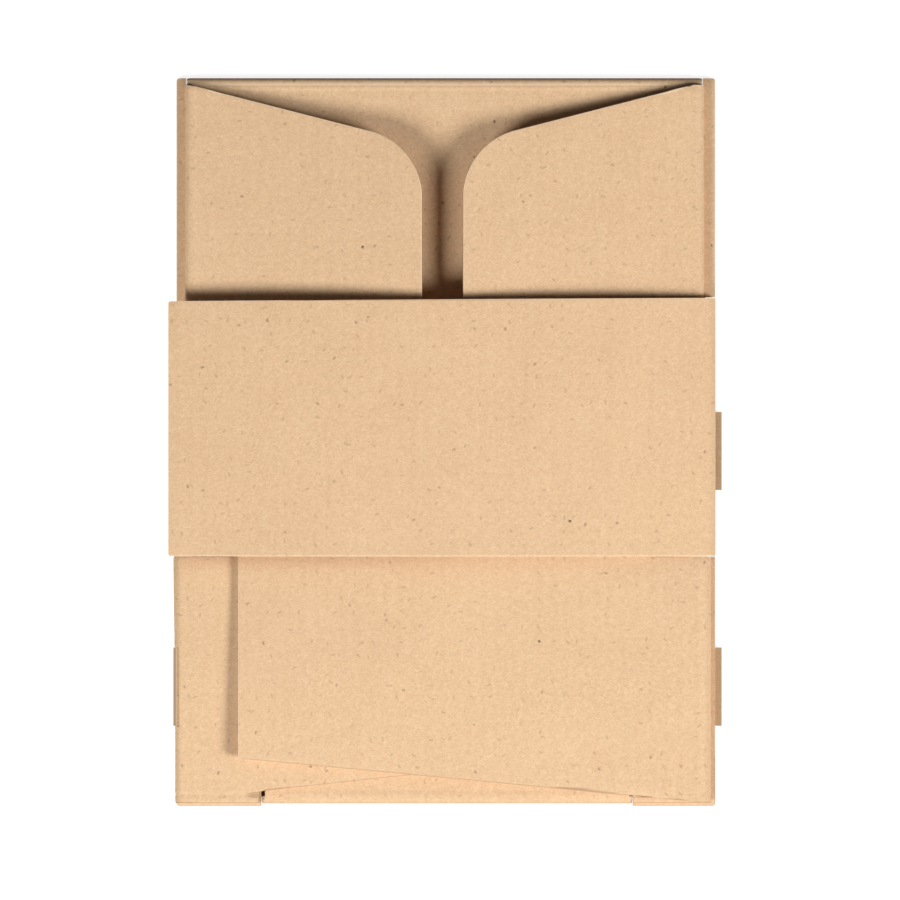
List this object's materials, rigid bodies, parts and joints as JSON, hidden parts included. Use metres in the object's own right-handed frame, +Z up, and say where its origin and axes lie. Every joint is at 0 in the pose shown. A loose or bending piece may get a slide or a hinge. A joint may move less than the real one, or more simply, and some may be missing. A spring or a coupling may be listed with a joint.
{
  "type": "flattened cardboard box",
  "caption": "Corrugated board shipping box folded flat: base panel, end walls with ears folded in, and a wide closing flap bowed across the middle.",
  "frame": {"origin": "middle of the whole outline, on the ground under the base panel", "axes": "+X across the base panel towards the closing flap's crease, +Y along the base panel towards the end with the short ears, +Z up"},
  "size_m": [0.2576, 0.339, 0.0254],
  "materials": {
    "kraft_board": "matt brown kraft corrugated board",
    "flap_board": "matt brown kraft corrugated board"
  },
  "bodies": {
    "blank": {"folded_blank": "kraft_board"},
    "flap": {"closing_flap": "flap_board"}
  },
  "joints": [
    {"name": "closing_flap_crease", "type": "hinge", "parent": "blank", "child": "flap", "pos_m": [0.1243, 0.007, 0.0114], "axis": [0, 1, 0], "range_deg": [0, 170]}
  ]
}
